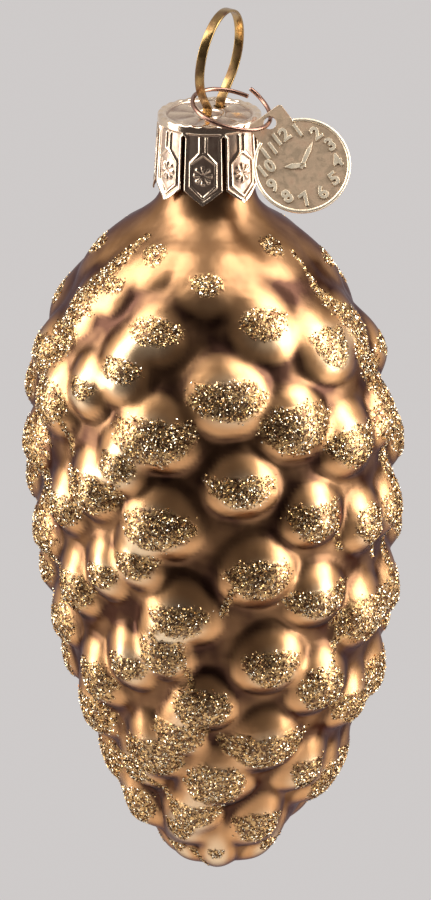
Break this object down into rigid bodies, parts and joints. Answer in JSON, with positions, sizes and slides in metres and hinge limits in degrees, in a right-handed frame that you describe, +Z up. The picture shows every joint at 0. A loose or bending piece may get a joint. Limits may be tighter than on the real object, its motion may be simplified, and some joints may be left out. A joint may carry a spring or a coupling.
{
  "type": "pine cone ornament",
  "caption": "Hollow blown-glass pine cone with a stamped metal cap, an omega hanger loop, and a jump ring that carries a round charm.",
  "frame": {"origin": "inside top of the hanger loop, where a hook bears", "axes": "+Z up along the hung ornament, -Y towards the front, +X to the right seen from the front"},
  "size_m": [0.0521, 0.0517, 0.1224],
  "materials": {
    "lacquered_glass": "satin copper-gold lacquer on blown glass, with gold glitter on the lower side of each scale",
    "stamped_brass": "stamped, light gold",
    "strip_brass": "flat strip, bright gold",
    "wire_brass": "round wire, dark copper tone",
    "charm_brass": "stamped, pale antique gold"
  },
  "bodies": {
    "ornament": {"glass_body": "lacquered_glass", "cap": "stamped_brass", "hanger_loop": "strip_brass"},
    "ring": {"jump_ring": "wire_brass"},
    "charm": {"charm": "charm_brass"}
  },
  "joints": [
    {"name": "ring_lift", "type": "hinge", "parent": "ornament", "child": "ring", "pos_m": [-0.00264, -0.00265, -0.0117], "axis": [0, -1, 0], "range_deg": [0, 45]},
    {"name": "charm_swing", "type": "hinge", "parent": "ring", "child": "charm", "pos_m": [0.00605, -0.00577, -0.01364], "axis": [-0.2264, -0.9667, -0.1192], "range_deg": [0, 60]}
  ]
}
